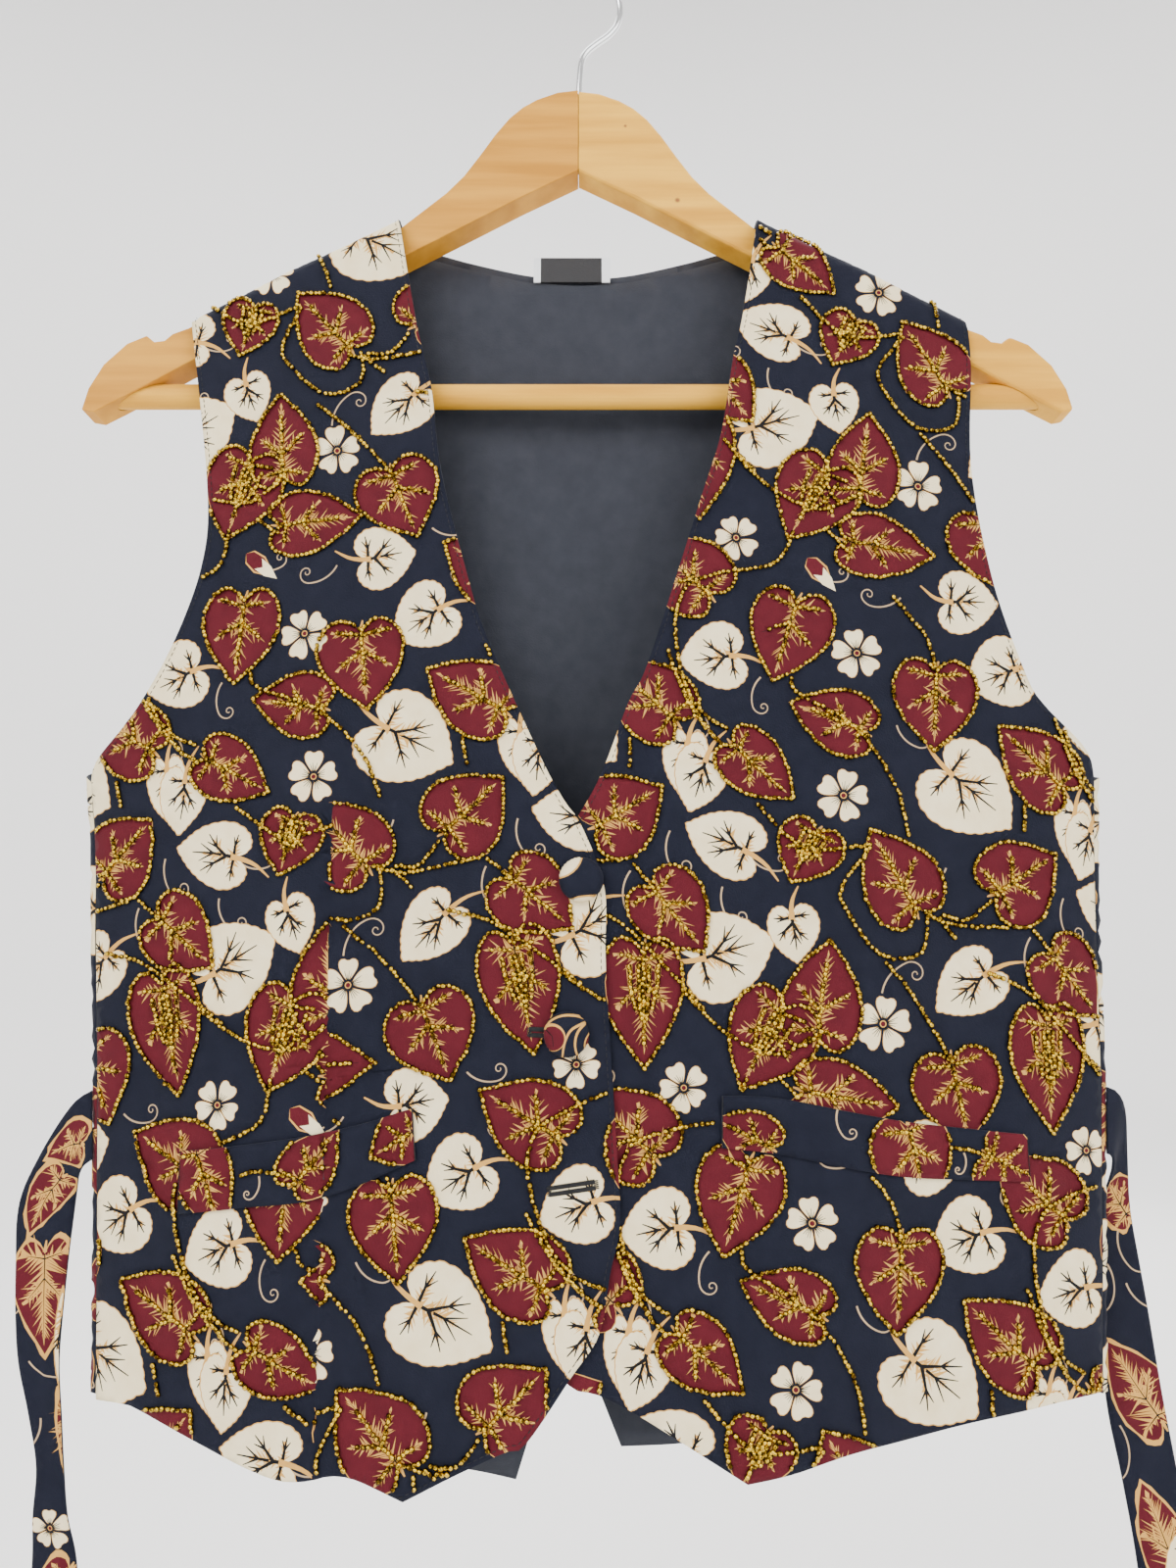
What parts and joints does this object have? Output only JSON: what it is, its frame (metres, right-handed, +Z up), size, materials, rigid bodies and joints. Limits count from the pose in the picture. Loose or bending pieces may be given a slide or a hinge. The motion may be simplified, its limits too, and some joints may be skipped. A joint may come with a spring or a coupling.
{
  "type": "beaded waistcoat on a wooden hanger",
  "caption": "Sleeveless V-neck waistcoat with pointed fronts, sloping welts, covered buttons and side ties, held flat on a wooden hanger with a wire hook",
  "frame": {"origin": "the point where the hook hangs on its rail, at the inner top of the hook", "axes": "+X is the viewer's right, -Y is the side that the garment faces, +Z is up"},
  "size_m": [0.4778, 0.0571, 0.8927],
  "materials": {
    "printed_cloth": "matte woven cloth with a print and sewn beads",
    "plain_lining": "matte plain lining",
    "woven_label": "woven tape, bare",
    "birch_wood": "clear satin lacquer",
    "steel_wire": "polished"
  },
  "bodies": {
    "root": {"front_right": "printed_cloth", "front_left": "printed_cloth", "back": "printed_cloth", "back_lining": "plain_lining", "welt_right": "printed_cloth", "welt_left": "printed_cloth", "button_top": "printed_cloth", "button_middle": "printed_cloth", "tie_right": "printed_cloth", "tie_left": "printed_cloth", "neck_label": "woven_label", "hanger_arm_right": "birch_wood", "hanger_arm_left": "birch_wood", "hanger_bar": "birch_wood", "hanger_hook": "steel_wire"}
  },
  "joints": []
}
